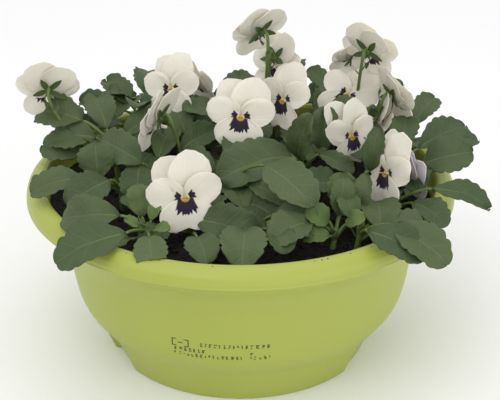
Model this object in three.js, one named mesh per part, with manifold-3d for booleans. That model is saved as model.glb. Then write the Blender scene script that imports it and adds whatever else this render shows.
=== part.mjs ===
// A horned violet growing in a wide, round plastic bowl.
// Millimetres, +Z up. The bowl stands on z = 0 round the Z axis, and its front faces -Y.
import * as THREE from "three";
import { mergeVertices } from "three/addons/utils/BufferGeometryUtils.js";
import Module from "manifold-3d";

const wasm = await Module();
wasm.setup();

// Bowl
const RIM_RADIUS = 115;
const BOWL_HEIGHT = 98;
const FOOT_RADIUS = 73;
const FOOT_TOP_RADIUS = 81;
const FOOT_HEIGHT = 19.6;
const FLOOR_THICKNESS = 3;
const BASE_HOLLOW = 2.5;
const PAD_RADIUS = 22;
const NOTCH_DEPTH = 3;
const BOWL_FACETS = 36;
const DRAIN_HOLES = 6;
const DRAIN_HOLE_RADIUS = 3.5;
const DRAIN_CIRCLE_RADIUS = 44;
// The stretches of the foot that are set back, in degrees from the front towards +X
const FOOT_NOTCHES = [
  [51, 93],
  [152, 193],
  [-71, -52],
];

// Compost
const SOIL_HEIGHT = 85;
const SOIL_SWELL = 2.5;

// Plant
const GAP = 0.3; // left between pieces that touch
// The room round a thin, sharp-edged blade or petal is this many gaps wider and thicker than the blade.
const EDGE_MARGINS = 3;
const FACE_MARGINS = 1.5;
const SLIVER = 0.06; // detail below this size is smoothed away after a cut
const ROOT_DEPTH = 5; // a stem is drawn from this far down, then trimmed at the compost's surface
const STEM_RADIUS = 1.5;
const STALK_RADIUS = 0.8;
const PETIOLE_RADIUS = 0.75;
const PETIOLE_DROP = 11; // a petiole leaves its stem this far below its blade
const BLADE_THICKNESS = 0.9;
const BLADE_ARCH = 0.12;
const BLADE_FOLD = 0.16;
const PETAL_THICKNESS = 0.8;
const PETAL_CURL = 0.12; // how far a petal's tip bends back, against its length
const SEPAL_LENGTH = 9;

const LIME = 0x9fb040;
const SOIL_BROWN = 0x1e1712;
const LEAF_GREEN = 0x42553a;
const STALK_GREEN = 0x62793a;
const PETAL_WHITE = 0xe6e2d2;
const PETAL_LILAC = 0xd9d0dc;

const UP = new THREE.Vector3(0, 0, 1);
const rad = THREE.MathUtils.degToRad;
const vector = (x, y, z) => new THREE.Vector3(x, y, z);

// ---- Solids ----

function solidFrom(geometry) {
  geometry.deleteAttribute("normal");
  geometry.deleteAttribute("uv");
  const merged = mergeVertices(geometry, 1e-3);
  return new wasm.Manifold(
    new wasm.Mesh({
      numProp: 3,
      vertProperties: merged.attributes.position.array,
      triVerts: new Uint32Array(merged.index.array),
    }),
  );
}

function geometryFrom(solid) {
  const { vertProperties, triVerts } = solid.getMesh();
  const indexed = new THREE.BufferGeometry();
  indexed.setAttribute("position", new THREE.BufferAttribute(vertProperties, 3));
  indexed.setIndex(new THREE.BufferAttribute(triVerts, 1));
  const geometry = indexed.toNonIndexed();
  geometry.computeVertexNormals();
  return geometry;
}

const joined = (solids) => solids.reduce((whole, solid) => whole.add(solid));

// The largest of a solid's separate bodies, without the slivers that a cut can leave. Bodies that only
// share a point or an edge come apart once their vertices are rounded and merged, so it is picked twice.
function largest(solid) {
  const pick = (bodies) => bodies.reduce((a, b) => (a.volume() > b.volume() ? a : b));
  const body = pick(solid.setTolerance(SLIVER).decompose());
  return pick(solidFrom(geometryFrom(body)).decompose());
}

// A solid turned round the Z axis from a closed outline of [radius, height] points. Its facets start at a
// bearing in degrees.
function turned(outline, bearing = 0) {
  const points = outline.map(([radius, height]) => new THREE.Vector2(radius, height));
  return solidFrom(new THREE.LatheGeometry(points, BOWL_FACETS, rad(bearing)).rotateX(Math.PI / 2));
}

// A round rod of one radius along a smooth curve through the points.
function rod(points, radius, steps, sides = 6) {
  const shape = new THREE.Shape();
  for (let i = 0; i < sides; i++) {
    const angle = (i / sides) * 2 * Math.PI;
    if (i === 0) shape.moveTo(radius, 0);
    else shape.lineTo(radius * Math.cos(angle), radius * Math.sin(angle));
  }
  const extrudePath = new THREE.CatmullRomCurve3(points);
  return solidFrom(new THREE.ExtrudeGeometry(shape, { steps, extrudePath }));
}

// A thin body, pinched shut at both ends, that follows a midrib: place(along, across, face) gives a point
// of its skin, with along from 0 to 1, across from -1 to 1 edge to edge, and face -1 or 1 on the two sides.
function sheet(rows, place) {
  const geometry = new THREE.SphereGeometry(1, 4, rows);
  const position = geometry.attributes.position;
  for (let i = 0; i < position.count; i++) {
    const along = Math.acos(THREE.MathUtils.clamp(position.getY(i), -1, 1)) / Math.PI;
    const ring = Math.sin(along * Math.PI);
    const atEnd = ring < 1e-4;
    const across = atEnd ? 0 : position.getX(i) / ring;
    const face = atEnd ? 0 : position.getZ(i) / ring;
    position.setXYZ(i, ...place(along, across, face).toArray());
  }
  return solidFrom(geometry);
}

// ---- Bowl and compost ----

function footRadiusAt(height) {
  return THREE.MathUtils.lerp(FOOT_RADIUS, FOOT_TOP_RADIUS, height / FOOT_HEIGHT);
}

// The part of a round plate between two bearings, counted from the front towards +X.
function wedge(from, to) {
  const reach = RIM_RADIUS * 1.5;
  const shape = new THREE.Shape();
  shape.moveTo(0, 0);
  for (const share of [0, 0.5, 1]) {
    const bearing = rad(THREE.MathUtils.lerp(from, to, share));
    shape.lineTo(reach * Math.sin(bearing), -reach * Math.cos(bearing));
  }
  const plate = new THREE.ExtrudeGeometry(shape, { depth: FOOT_HEIGHT + 2, bevelEnabled: false });
  return solidFrom(plate.translate(0, 0, -1));
}

function bowl() {
  const outline = [
    [0, 0],
    [PAD_RADIUS, 0],
    [PAD_RADIUS + 2, BASE_HOLLOW],
    [FOOT_RADIUS - 10, BASE_HOLLOW],
    [FOOT_RADIUS - 8, 0],
    [FOOT_RADIUS, 0],
    [FOOT_TOP_RADIUS, FOOT_HEIGHT],
    [87.8, 29.1],
    [91.2, 38.8],
    [94.3, 58],
    [96.6, 67.2],
    [101.1, 75.9],
    [109.1, 84.5],
    [109.6, 87.6],
    [114.2, 88],
    [RIM_RADIUS, 91],
    [112.6, 95.8],
    [107, BOWL_HEIGHT],
    [104.4, 95.5],
    [103.4, 84],
    [97.6, 76.4],
    [91.2, 58],
    [88, 39],
    [75.5, 18],
    [67, BASE_HOLLOW + FLOOR_THICKNESS],
    [0, BASE_HOLLOW + FLOOR_THICKNESS],
  ];
  let solid = turned(outline);
  const halfFacet = 180 / BOWL_FACETS;
  const setBack = turned(
    [
      [footRadiusAt(0) - NOTCH_DEPTH, -1],
      [FOOT_TOP_RADIUS + 20, -1],
      [FOOT_TOP_RADIUS + 20, FOOT_HEIGHT - 0.8],
      [footRadiusAt(FOOT_HEIGHT) - NOTCH_DEPTH, FOOT_HEIGHT - 0.8],
      [footRadiusAt(0) - NOTCH_DEPTH, -1],
    ],
    halfFacet,
  );
  for (const [from, to] of FOOT_NOTCHES) {
    solid = solid.subtract(setBack.intersect(wedge(from, to)));
  }
  for (let i = 0; i < DRAIN_HOLES; i++) {
    const bearing = ((i + 0.5) / DRAIN_HOLES) * 2 * Math.PI;
    const hole = new THREE.CylinderGeometry(DRAIN_HOLE_RADIUS, DRAIN_HOLE_RADIUS, 20, 10);
    hole.rotateX(Math.PI / 2);
    hole.translate(DRAIN_CIRCLE_RADIUS * Math.cos(bearing), DRAIN_CIRCLE_RADIUS * Math.sin(bearing), 0);
    solid = solid.subtract(solidFrom(hole));
  }
  return solid;
}

// The compost fills the bowl's inside; raised is added to the height of its surface.
function compost(raised) {
  const outline = [
    [0, BASE_HOLLOW + FLOOR_THICKNESS + GAP],
    [66.6, BASE_HOLLOW + FLOOR_THICKNESS + GAP],
    [75, 18.4],
    [87.4, 39.1],
    [90.6, 58.1],
    [96.9, 76.5],
    [103, SOIL_HEIGHT - 0.6 + raised],
    [94, SOIL_HEIGHT + raised],
    [50, SOIL_HEIGHT + SOIL_SWELL * 0.6 + raised],
    [0, SOIL_HEIGHT + SOIL_SWELL + raised],
  ];
  return turned(outline);
}

// ---- Leaves ----

// How wide a blade is, against its widest, from its base (0) to its tip (1).
const bladeOutline = (t) => Math.sin(Math.PI * t ** 1.02) ** 0.35;

// A blade arches out from its base along its heading, folded up a little at the midrib. Its face leans
// towards the light at the front.
function blade({ base, heading, tilt, length, width, lean }, margin) {
  const outward = vector(
    Math.cos(rad(heading)) * Math.cos(rad(tilt)),
    Math.sin(rad(heading)) * Math.cos(rad(tilt)),
    Math.sin(rad(tilt)),
  );
  const light = vector(0, -lean, 1);
  const normal = light.addScaledVector(outward, -light.dot(outward)).normalize();
  const side = new THREE.Vector3().crossVectors(normal, outward);
  const midrib = new THREE.QuadraticBezierCurve3(
    base,
    base.clone().addScaledVector(outward, length / 2).addScaledVector(normal, 2 * BLADE_ARCH * length),
    base.clone().addScaledVector(outward, length),
  );
  return sheet(4, (along, across, face) => {
    const tangent = midrib.getTangent(along);
    const out = new THREE.Vector3().crossVectors(tangent, side);
    const halfWidth = (bladeOutline(along) * width) / 2 + EDGE_MARGINS * margin;
    const lift = BLADE_FOLD * Math.abs(across) * 2 * halfWidth;
    const past = along === 0 ? -margin : along === 1 ? margin : 0;
    return midrib
      .getPoint(along)
      .addScaledVector(side, across * halfWidth)
      .addScaledVector(out, face * (BLADE_THICKNESS / 2 + FACE_MARGINS * margin) + lift)
      .addScaledVector(tangent, past);
  });
}

// A shoot is one stem with its leaves, each at the end of a petiole. A leaf's row is [heading, reach, rise,
// length, width, tilt, lean, turn]: heading in degrees from +X, reach and rise of the blade's base from the
// shoot's crown, and the turn of the blade from its petiole's heading.
function shoot({ root, crown, leaves }, margin) {
  const foot = vector(root[0], root[1], SOIL_HEIGHT - ROOT_DEPTH);
  const top = vector(...crown);
  const middle = foot.clone().lerp(top, 0.5).addScaledVector(UP, 2);
  const stem = new THREE.CatmullRomCurve3([foot, middle, top]);
  const stalks = [rod([foot, middle, top], STEM_RADIUS + margin, 2, 5)];
  const blades = [];
  for (const [heading, reach, rise, length, width, tilt, lean = 0.5, turn = 0] of leaves) {
    const out = vector(Math.cos(rad(heading)), Math.sin(rad(heading)), 0);
    const base = top.clone().addScaledVector(out, reach).addScaledVector(UP, rise);
    const height = (base.z - PETIOLE_DROP - foot.z) / (top.z - foot.z);
    const start = stem.getPoint(THREE.MathUtils.clamp(height, 0.35, 0.96));
    const elbow = base.clone().addScaledVector(out, -reach * 0.4).addScaledVector(UP, -1);
    const bladeHeading = rad(heading + turn);
    const inside = vector(Math.cos(bladeHeading), Math.sin(bladeHeading), Math.sin(rad(tilt)));
    const end = base.clone().addScaledVector(inside, 1.5);
    stalks.push(rod([start, elbow, end], PETIOLE_RADIUS + margin, 2, 3));
    blades.push(blade({ base, heading: heading + turn, tilt, length, width, lean }, margin));
  }
  return { frame: joined(stalks), blades: joined(blades) };
}

// ---- Flowers ----

// A petal is [angle, length, width, layer, back, notch]: the angle clockwise from the top as seen from the
// front, the layer it starts in, and how far its outer end falls back behind that, against its length.
const PETALS = [
  [-24, 0.58, 0.5, -2, 0.3, 0],
  [20, 0.6, 0.54, -1, 0.16, 0],
  [-68, 0.5, 0.4, 0, 0.04, 0],
  [68, 0.5, 0.4, 0, 0.04, 0],
  [180, 0.46, 0.68, 1, -0.04, 0.22],
];
const LAYER_STEP = 1;
const petalOutline = (t) => Math.sin(Math.PI * Math.pow(t, 1.25)) ** 0.6;

function petal([angle, length, width, layer, back, notch], size, margin) {
  const rows = 5;
  const out = vector(Math.sin(rad(angle)), Math.cos(rad(angle)), 0);
  const side = vector(Math.cos(rad(angle)), -Math.sin(rad(angle)), 0);
  const front = vector(0, 0, 1);
  return sheet(rows, (along, across, face) => {
    const reach = length * size * (along - notch * along ** 3 * (1 - Math.abs(across)));
    const ownHalfWidth = Math.max(0.8, (petalOutline(along) * width * size) / 2);
    const halfWidth = ownHalfWidth + EDGE_MARGINS * margin;
    const halfThickness = PETAL_THICKNESS / 2 + FACE_MARGINS * margin;
    const depth = layer * LAYER_STEP - 2.5 * (1 - along) ** 3;
    const rise = (0.5 * Math.abs(across) * halfWidth) / ownHalfWidth;
    const curl = PETAL_CURL * length * size * (along ** 2 - rise);
    return vector(0, 0, 0)
      .addScaledVector(out, reach - 0.4 + (along === 1 ? margin : 0))
      .addScaledVector(side, -across * halfWidth)
      .addScaledVector(front, face * halfThickness + depth - back * reach - curl);
  });
}

function corolla({ size }, margin) {
  const pieces = PETALS.map((row) => petal(row, size, margin));
  const spur = rod([vector(0, 0, -0.5), vector(0, -1.2, -5), vector(0, -1.4, -9)], 1.7 + margin, 2, 4);
  return joined([...pieces, spur]);
}

// The green back of a flower: the sepals round the receptacle, and the stalk that hooks over into it.
function calyx({ size, frame, root }, margin) {
  const heart = vector(0, 3, -4.8);
  const receptacle = new THREE.SphereGeometry(1.8 + margin, 5, 3).translate(...heart.toArray());
  const pieces = [solidFrom(receptacle)];
  for (let i = 0; i < 5; i++) {
    const angle = rad(36 + 72 * i);
    const out = vector(Math.sin(angle), Math.cos(angle), 0);
    const side = vector(Math.cos(angle), -Math.sin(angle), 0);
    const length = SEPAL_LENGTH * (size / 36);
    pieces.push(
      sheet(3, (along, across, face) => {
        const halfWidth = 1.7 * Math.sin(Math.PI * (0.05 + 0.95 * along)) + margin;
        return heart
          .clone()
          .addScaledVector(out, 1.2 + along * (length - 1.2))
          .addScaledVector(side, -across * halfWidth)
          .add(vector(0, 0, face * (0.55 + margin) - 1.2 * along));
      }),
    );
  }
  const back = joined(pieces).transform(frame.elements);
  const head = heart.clone().applyMatrix4(frame);
  const behind = vector(0, 0, -1).transformDirection(frame);
  const foot = vector(root[0], root[1], SOIL_HEIGHT - ROOT_DEPTH);
  const hook = head.clone().addScaledVector(behind, 4).addScaledVector(UP, 3);
  const neck = head.clone().addScaledVector(behind, 7.5).addScaledVector(UP, -3);
  const middle = foot.clone().lerp(neck, 0.55).addScaledVector(behind, 3);
  const stalk = rod([foot, middle, neck, hook, head], STALK_RADIUS + margin, 7, 4);
  return back.add(stalk);
}

// ---- What grows where ----

// A flower: at its throat, facing degrees from the front towards +X, looking up by nod degrees, rolled
// clockwise, and size across. Its stalk leaves the compost at root.
const FLOWERS = [
  { at: [-27, -58, 109], facing: 8, nod: 22, roll: -4, size: 41, root: [-30, -38] },
  { at: [0, -4, 130], facing: 0, nod: 22, roll: 6, size: 39, root: [2, 14] },
  { at: [22, 15, 132], facing: -40, nod: 15, roll: -8, size: 37, root: [24, 30] },
  { at: [59, 40, 126], facing: -10, nod: 40, roll: 25, size: 37, root: [56, 46] },
  { at: [60, 0, 117], facing: 38, nod: 8, roll: 8, size: 36, root: [50, 16] },
  { at: [73, -38, 113], facing: -58, nod: 5, roll: -6, size: 39, root: [64, -22] },
  { at: [90, -20, 105], facing: 118, nod: 0, roll: 0, size: 35, root: [72, -8], lilac: true },
  { at: [-39, 30, 133], facing: -22, nod: 18, roll: -8, size: 36, root: [-34, 42] },
  { at: [-24, 60, 126], facing: 130, nod: 10, roll: 0, size: 33, root: [-26, 50] },
  { at: [-47, -2, 127], facing: -112, nod: 5, roll: 0, size: 37, root: [-34, 6] },
  { at: [-106, 25, 134], facing: -165, nod: 10, roll: -10, size: 38, root: [-80, 22] },
  { at: [9, 50, 160], facing: -150, nod: 20, roll: 10, size: 37, root: [8, 58] },
  { at: [20, 62, 135], facing: 150, nod: -35, roll: 0, size: 33, root: [20, 72] },
  { at: [73, 50, 147], facing: 150, nod: 10, roll: 0, size: 37, root: [66, 58] },
  { at: [88, 35, 126], facing: 120, nod: 10, roll: 0, size: 35, root: [76, 40] },
  { at: [79, 32, 113], facing: 100, nod: -30, roll: 0, size: 31, root: [72, 26] },
  { at: [61, 68, 139], facing: -150, nod: 30, roll: 0, size: 29, root: [56, 64] },
];

// The shoots, front ones first.
const SHOOTS = [
  {
    root: [-46, -60],
    crown: [-46, -66, 97],
    leaves: [
      [195, 13, 8, 31, 20, -8, 0.8, -22],
      [-115, 20, 6, 37, 23, -18, 0.7, -50],
      [-82, 18, 4, 20, 17, -28, 0.2],
      [110, 8, 2, 17, 13, 60, 0.8],
      [-150, 10, -4, 15, 12, 0, 0.5],
      [60, 4, 2, 10, 7, 50, 0.5],
      [200, 4, 1, 9, 7, 35, 0.5],
      [-40, 5, 0, 11, 8, 20, 0.5],
    ],
  },
  {
    root: [-62, -24],
    crown: [-62, -28, 103],
    leaves: [
      [-155, 19, 7, 30, 16, -14, 0.7, -20],
      [-125, 8, 5, 27, 20, -14, 1, -16],
      [170, 12, 2, 19, 20, 62, 0.9, -70],
      [-60, 8, -4, 20, 15, 0, 0.6],
      [60, 8, -2, 22, 15, 20, 0.6],
    ],
  },
  {
    root: [-66, 6],
    crown: [-70, 6, 112],
    leaves: [
      [160, 16, 10, 32, 22, -6, 0.9, -16],
      [175, 8, 2, 27, 20, -6, 0.9, -12],
      [-170, 14, -6, 25, 20, 2, 0.9, -30],
      [110, 8, 4, 26, 18, 25, 0.5],
      [30, 8, 2, 22, 15, 20, 0.6],
    ],
  },
  {
    root: [-46, -16],
    crown: [-46, -14, 106],
    leaves: [
      [-140, 7, 4, 27, 20, 20, 1, -66],
      [-150, 8, 2, 20, 19, -38, 0.3, 56],
      [70, 6, 2, 24, 16, 25, 0.5],
      [-50, 7, -6, 20, 16, 0, 0.6],
    ],
  },
  {
    root: [-22, -56],
    crown: [-26, -54, 94],
    leaves: [
      [-60, 7, 4, 33, 21, -9, 0.9, 48],
      [-75, 20, 1, 22, 18, -8, 0.4],
      [-140, 12, -1, 18, 14, -6, 0.5],
      [150, 8, 2, 20, 14, 15, 0.6],
    ],
  },
  {
    root: [6, -56],
    crown: [6, -56, 95],
    leaves: [
      [-105, 13, 2, 30, 24, -9, 0.6, 12],
      [-60, 18, 3, 18, 15, -14, 0.4],
      [-10, 10, 4, 26, 20, -4, 0.7, -20],
      [110, 8, 3, 24, 18, 10, 0.6],
    ],
  },
  {
    root: [-6, -24],
    crown: [-6, -26, 104],
    leaves: [
      [-35, 22, 14, 38, 22, -16, 0.7, -14],
      [-50, 16, 3, 25, 15, -12, 0.5, 20],
      [-70, 12, -6, 33, 24, -6, 0.8, 30],
      [-120, 10, -2, 28, 20, -10, 0.7],
      [150, 8, 2, 24, 17, 12, 0.6],
    ],
  },
  {
    root: [34, -6],
    crown: [34, -8, 106],
    leaves: [
      [-150, 8, 5, 45, 27, -2, 0.8],
      [-110, 7, 4, 36, 15, 64, 0.6, 30],
      [50, 14, 3, 24, 16, 78, 0.9],
      [-25, 8, 6, 21, 11, -20, 0.6],
      [100, 8, 0, 26, 18, 15, 0.6],
    ],
  },
  {
    root: [46, -66],
    crown: [48, -63, 95],
    leaves: [
      [70, 6, 4, 20, 13, 76, 0.9],
      [80, 16, 4, 18, 16, 74, 0.9],
      [-120, 8, -1, 15, 12, 4, 0.5, -48],
      [40, 14, 3, 22, 10, 76, 0.9],
      [190, 4, 4, 14, 13, 30, 0.9],
      [-20, 5, 3, 11, 10, 30, 0.7],
      [-160, 14, 6, 25, 20, -10, 0.6, 12],
    ],
  },
  {
    root: [58, -66],
    crown: [60, -70, 98],
    leaves: [
      [-85, 14, 6, 31, 18, -14, 0.8, 58],
      [-45, 19, 9, 32, 20, -24, 0.7, 12],
      [10, 9, -1, 22, 16, 0, 0.5],
      [120, 6, 2, 16, 12, 40, 0.7],
    ],
  },
  {
    root: [76, -34],
    crown: [80, -36, 98],
    leaves: [
      [-15, 18, 8, 33, 15, -18, 0.5, 14],
      [-50, 12, 2, 24, 16, -8, 0.5],
      [-150, 12, 1, 26, 22, 0, 0.8, 60],
      [60, 8, 2, 24, 18, 10, 0.6],
    ],
  },
  {
    root: [82, 0],
    crown: [86, -2, 102],
    leaves: [
      [-30, 12, 3, 28, 22, 18, 1, 24],
      [20, 10, 8, 29, 18, 18, 0.6],
      [80, 8, 6, 24, 16, 24, 0.5],
      [-80, 9, 0, 24, 18, 0, 0.8],
      [170, 8, 2, 22, 15, 15, 0.6],
    ],
  },
  {
    root: [60, -24],
    crown: [62, -26, 104],
    leaves: [
      [-20, 5, 6, 26, 11, 82, 0.9],
      [170, 9, -4, 24, 18, -2, 0.7],
      [-110, 8, -4, 24, 18, -4, 0.7],
      [60, 8, 2, 22, 14, 20, 0.6],
    ],
  },
  {
    root: [-26, 4],
    crown: [-26, 0, 108],
    leaves: [
      [-160, 7, 2, 27, 16, 14, 0.9, -160],
      [40, 9, 0, 26, 18, 8, 0.6],
      [110, 10, 6, 24, 16, 20, 0.5],
      [-60, 8, -6, 24, 18, -4, 0.7],
    ],
  },
];

// The shoots behind, whose leaves follow one another round the stem by the golden angle.
const GOLDEN_ANGLE = 137.5;
const BACK_SHOOTS = [
  { root: [-74, 34], crown: [-80, 36, 108], leaves: 4 },
  { root: [-52, 66], crown: [-56, 72, 108], leaves: 5 },
  { root: [-50, 40], crown: [-56, 44, 114], leaves: 5 },
  { root: [-22, 72], crown: [-22, 80, 108], leaves: 5 },
  { root: [-4, 36], crown: [-4, 36, 116], leaves: 4 },
  { root: [6, 6], crown: [4, 10, 108], leaves: 4 },
  { root: [22, 76], crown: [24, 82, 108], leaves: 5 },
  { root: [34, 40], crown: [36, 40, 114], leaves: 4 },
  { root: [58, 70], crown: [64, 76, 106], leaves: 5 },
  { root: [84, 38], crown: [92, 38, 104], leaves: 4 },
];

function spiralLeaves(count, first) {
  const rows = [];
  for (let i = 0; i < count; i++) {
    const heading = first + i * GOLDEN_ANGLE;
    rows.push([heading, 13 - i, -8 + 3 * i, 29 - 1.5 * i, 19 - i, 4 + 6 * i, 0.4]);
  }
  return rows;
}

const allShoots = [
  ...SHOOTS,
  ...BACK_SHOOTS.map((row, i) => ({ ...row, leaves: spiralLeaves(row.leaves, 40 * i) })),
];

// ---- Assembly ----

// A flower's frame: +Z out of its throat, +Y towards its top petals.
function flowerFrame({ at, facing, nod, roll }) {
  const level = Math.cos(rad(nod));
  const front = vector(Math.sin(rad(facing)) * level, -Math.cos(rad(facing)) * level, Math.sin(rad(nod)));
  const right = new THREE.Vector3().crossVectors(UP, front).normalize();
  const top = new THREE.Vector3().crossVectors(front, right);
  return new THREE.Matrix4()
    .makeTranslation(...at)
    .multiply(new THREE.Matrix4().makeBasis(right, top, front))
    .multiply(new THREE.Matrix4().makeRotationZ(-rad(roll)));
}

const number = (i) => String(i + 1).padStart(2, "0");
const violet = new THREE.Group();
const taken = []; // the space round each finished piece, which later pieces keep out of

// Adds a solid as a mesh whose own origin is at its frame.
function add(name, solid, frame, colour, roughness) {
  const geometry = geometryFrom(solid).applyMatrix4(frame.clone().invert());
  const material = new THREE.MeshStandardMaterial({ color: colour, roughness, metalness: 0 });
  const mesh = new THREE.Mesh(geometry, material);
  mesh.name = name;
  mesh.applyMatrix4(frame);
  violet.add(mesh);
}

// What is left of a solid outside the room that others have taken.
function cut(solid, others) {
  const box = solid.boundingBox();
  let rest = solid;
  for (const other of others) {
    const near = other.boundingBox();
    const apart = [0, 1, 2].some((k) => near.max[k] < box.min[k] || near.min[k] > box.max[k]);
    if (!apart) rest = rest.subtract(other);
  }
  return rest;
}

const clearOf = (solid, others) => largest(cut(solid, others));

const still = new THREE.Matrix4();
const pot = bowl();
add("pot", pot, still, LIME, 0.45);
add("soil", compost(0), still, SOIL_BROWN, 0.95);
taken.push(pot, compost(GAP));

for (const [i, flower] of FLOWERS.entries()) {
  const frame = flowerFrame(flower);
  const whole = corolla(flower, 0).transform(frame.elements);
  const room = corolla(flower, GAP).transform(frame.elements);
  add("corolla_" + number(i), clearOf(whole, taken), frame, flower.lilac ? PETAL_LILAC : PETAL_WHITE, 0.6);
  taken.push(room);
}

for (const [i, flower] of FLOWERS.entries()) {
  const frame = flowerFrame(flower);
  const whole = calyx({ ...flower, frame }, 0);
  const room = calyx({ ...flower, frame }, GAP);
  add("stalk_" + number(i), clearOf(whole, taken), frame, STALK_GREEN, 0.6);
  taken.push(room);
}

// Stems and petioles take their room first, then the blades.
const grown = allShoots.map((row) => ({ row, whole: shoot(row, 0), room: shoot(row, GAP) }));
for (const { whole, room } of grown) {
  whole.frame = clearOf(whole.frame, taken);
  taken.push(room.frame);
}
for (const [i, { row, whole, room }] of grown.entries()) {
  const others = taken.filter((solid) => solid !== room.frame);
  const solid = largest(whole.frame.add(cut(whole.blades, others)));
  add("shoot_" + number(i), solid, new THREE.Matrix4().makeTranslation(...row.crown), LEAF_GREEN, 0.65);
  taken.push(room.blades);
}

export default violet;
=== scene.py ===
import math
import random

import bmesh
import bpy
from mathutils import Matrix, Vector, noise


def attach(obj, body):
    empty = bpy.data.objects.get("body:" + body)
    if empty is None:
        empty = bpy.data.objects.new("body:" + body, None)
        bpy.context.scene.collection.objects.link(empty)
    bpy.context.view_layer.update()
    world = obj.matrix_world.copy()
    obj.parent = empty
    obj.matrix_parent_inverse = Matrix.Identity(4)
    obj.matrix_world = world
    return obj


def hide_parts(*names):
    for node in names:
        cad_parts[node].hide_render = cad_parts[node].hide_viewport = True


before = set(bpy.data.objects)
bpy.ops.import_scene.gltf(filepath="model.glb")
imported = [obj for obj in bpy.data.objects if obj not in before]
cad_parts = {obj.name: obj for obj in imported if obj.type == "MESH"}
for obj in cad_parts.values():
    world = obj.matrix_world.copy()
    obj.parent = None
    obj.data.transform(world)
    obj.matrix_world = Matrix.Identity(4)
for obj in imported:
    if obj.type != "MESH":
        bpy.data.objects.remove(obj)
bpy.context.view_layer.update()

# The plant is described in millimetres and built in metres.
MM = 0.001
UP = Vector((0, 0, 1))

# Bowl
RIM_RADIUS = 115
BOWL_HEIGHT = 98
RIM_INSIDE = 102.5
RIM_ROUNDING = 0.09  # per mm, squared: how the rim's top falls away outwards
FOOT_RADIUS = 73
FOOT_TOP_RADIUS = 81
FOOT_HEIGHT = 19.6
NOTCH_DEPTH = 3
# The stretches of the foot that are set back, in degrees from the front towards +X
FOOT_NOTCHES = [(51, 93), (152, 193), (-71, -52)]
BOWL_SEGMENTS = 240
DRAIN_HOLES = 6
DRAIN_HOLE_RADIUS = 3.5
DRAIN_CIRCLE_RADIUS = 44

# Compost
SOIL_HEIGHT = 85
SOIL_RADIUS = 102.6
SOIL_RINGS = 34
SOIL_SEGMENTS = 110
# The compost's sides follow the bowl's inside down to its floor: radius and height.
SOIL_SIDES = [(102.4, 83), (96.6, 76.3), (90.4, 58), (87.2, 39), (74.8, 18.2), (66.4, 6)]
CRUMBS = 700
RIM_GRAINS = 34
RIM_GRAIN_RADIUS = 108.5
ROOT_DEPTH = 2  # how far below the surface a stem is drawn from

# Plant
STEM_RADIUS = 1.5
STALK_RADIUS = 0.85
PETIOLE_RADIUS = 0.8
PETIOLE_DROP = 11
BLADE_THICKNESS = 0.5
BLADE_ARCH = 0.12
BLADE_FOLD = 0.16
WIDEST = 0.5  # where along a blade it is widest
BLUNTNESS = 2.6
SIDE_VEINS = 5.5
VEIN_SLANT = 1.3
LONG_BLADE = 16  # a blade longer than this has more teeth and a finer grid
TOOTH_DEPTH = 0.13  # against the blade's half width
STIPULED_LENGTH = 14  # a leaf longer than this has stipules at its foot
RIPPLE = 0.085  # how far a blade's surface waves, against its length
PETAL_THICKNESS = 0.4
SEPALS = 5
SEPAL_LENGTH = 9
SEPAL_WIDTH = 1.7  # from its middle to its edge
USUAL_SIZE = 36  # the flower size that the sepals' length is given for
FAN_ANGLE = math.radians(80)  # how far a petal spreads to each side of its middle
LAYER_STEP = 1.0

UPPER, LATERAL, LOWER = 0, 1, 2
# A petal: angle clockwise from the top, length, width, layer, back, notch, and kind
PETALS = [
    (-24, 0.58, 0.5, -2, 0.3, 0, UPPER),
    (20, 0.6, 0.54, -1, 0.16, 0, UPPER),
    (-68, 0.5, 0.4, 0, 0.04, 0, LATERAL),
    (68, 0.5, 0.4, 0, 0.04, 0, LATERAL),
    (180, 0.46, 0.68, 1, -0.04, 0.22, LOWER),
]

# A flower: throat, facing from the front towards +X, nod upwards, roll clockwise, size, and its stalk's root
FLOWERS = [
    ((-27, -58, 109), 8, 22, -4, 41, (-30, -38)),
    ((0, -4, 130), 0, 22, 6, 39, (2, 14)),
    ((22, 15, 132), -40, 15, -8, 37, (24, 30)),
    ((59, 40, 126), -10, 40, 25, 37, (56, 46)),
    ((60, 0, 117), 38, 8, 8, 36, (50, 16)),
    ((73, -38, 113), -58, 5, -6, 39, (64, -22)),
    ((90, -20, 105), 118, 0, 0, 35, (72, -8)),
    ((-39, 30, 133), -22, 18, -8, 36, (-34, 42)),
    ((-24, 60, 126), 130, 10, 0, 33, (-26, 50)),
    ((-47, -2, 127), -112, 5, 0, 37, (-34, 6)),
    ((-106, 25, 134), -165, 10, -10, 38, (-80, 22)),
    ((9, 50, 160), -150, 20, 10, 37, (8, 58)),
    ((20, 62, 135), 150, -35, 0, 33, (20, 72)),
    ((73, 50, 147), 150, 10, 0, 37, (66, 58)),
    ((88, 35, 126), 120, 10, 0, 35, (76, 40)),
    ((79, 32, 113), 100, -30, 0, 31, (72, 26)),
    ((61, 68, 139), -150, 30, 0, 29, (56, 64)),
]
LILAC_FLOWERS = (7,)

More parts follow.
